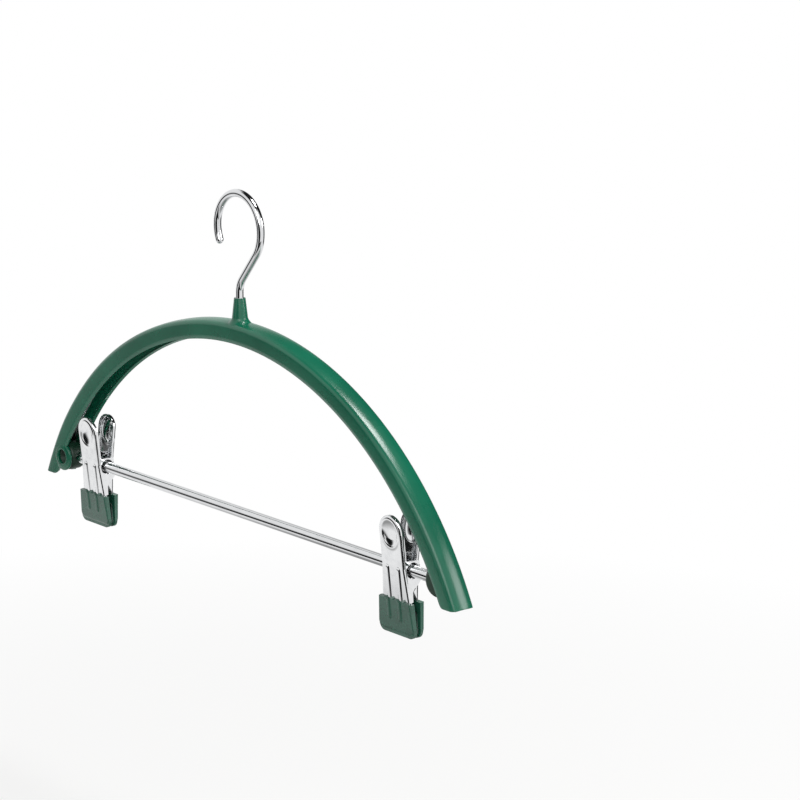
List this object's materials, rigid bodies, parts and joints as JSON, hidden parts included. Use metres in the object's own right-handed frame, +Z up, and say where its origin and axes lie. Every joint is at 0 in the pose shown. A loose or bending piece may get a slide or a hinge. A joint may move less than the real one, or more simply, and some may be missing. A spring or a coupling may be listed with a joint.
{
  "type": "skirt hanger",
  "caption": "Coated steel arch hanger with a swivelling wire hook, a crossbar and sprung clips that slide along it to hold a skirt or trousers by the waistband.",
  "frame": {"origin": "the rail seat, inside the top of the hook's loop", "axes": "+X along the crossbar, -Y towards the front with the eyelet, +Z up"},
  "size_m": [0.4174, 0.02, 0.241],
  "materials": {
    "green_coat": "satin",
    "green_cap": "satin",
    "green_metal": "satin",
    "chrome": "polished",
    "steel": "plain"
  },
  "bodies": {
    "frame": {"arch_core": "steel", "arch_coating": "green_coat", "neck_ferrule": "steel", "hook_washer": "steel", "crossbar": "chrome", "bar_socket_left": "green_metal", "bar_socket_right": "green_metal"},
    "hook": {"hook": "chrome"},
    "left_carriage": {"left_pivot_tube": "steel"},
    "left_rear": {"left_rear_jaw": "chrome", "left_rear_cap": "green_cap", "left_spring": "steel"},
    "left_front": {"left_front_jaw": "chrome", "left_front_cap": "green_cap"},
    "right_carriage": {"right_pivot_tube": "steel"},
    "right_rear": {"right_rear_jaw": "chrome", "right_rear_cap": "green_cap", "right_spring": "steel"},
    "right_front": {"right_front_jaw": "chrome", "right_front_cap": "green_cap"}
  },
  "joints": [
    {"name": "hook_swivel", "type": "hinge", "parent": "frame", "child": "hook", "pos_m": [0, 0, -0.0612], "axis": [0, 0, 1], "continuous": true},
    {"name": "left_clip_slide", "type": "slide", "parent": "frame", "child": "left_carriage", "axis": [1, 0, 0], "range_m": [-0.0012, 0.1411]},
    {"name": "left_clip_swing", "type": "hinge", "parent": "left_carriage", "child": "left_rear", "pos_m": [-0.15731, 0, -0.1958], "axis": [1, 0, 0], "range_deg": [-90, 90]},
    {"name": "left_jaw_open", "type": "hinge", "parent": "left_rear", "child": "left_front", "pos_m": [-0.15731, 0, -0.1958], "axis": [-1, 0, 0], "range_deg": [0, 24], "stiffness_Nm_per_rad": 0.5, "springref_deg": -22.92, "deforming": ["left_spring"]},
    {"name": "right_clip_slide", "type": "slide", "parent": "frame", "child": "right_carriage", "axis": [1, 0, 0], "range_m": [-0.1363, 0.006]},
    {"name": "right_clip_swing", "type": "hinge", "parent": "right_carriage", "child": "right_rear", "pos_m": [0.15251, 0, -0.1958], "axis": [1, 0, 0], "range_deg": [-90, 90]},
    {"name": "right_jaw_open", "type": "hinge", "parent": "right_rear", "child": "right_front", "pos_m": [0.15251, 0, -0.1958], "axis": [-1, 0, 0], "range_deg": [0, 24], "stiffness_Nm_per_rad": 0.5, "springref_deg": -22.92, "deforming": ["right_spring"]}
  ]
}
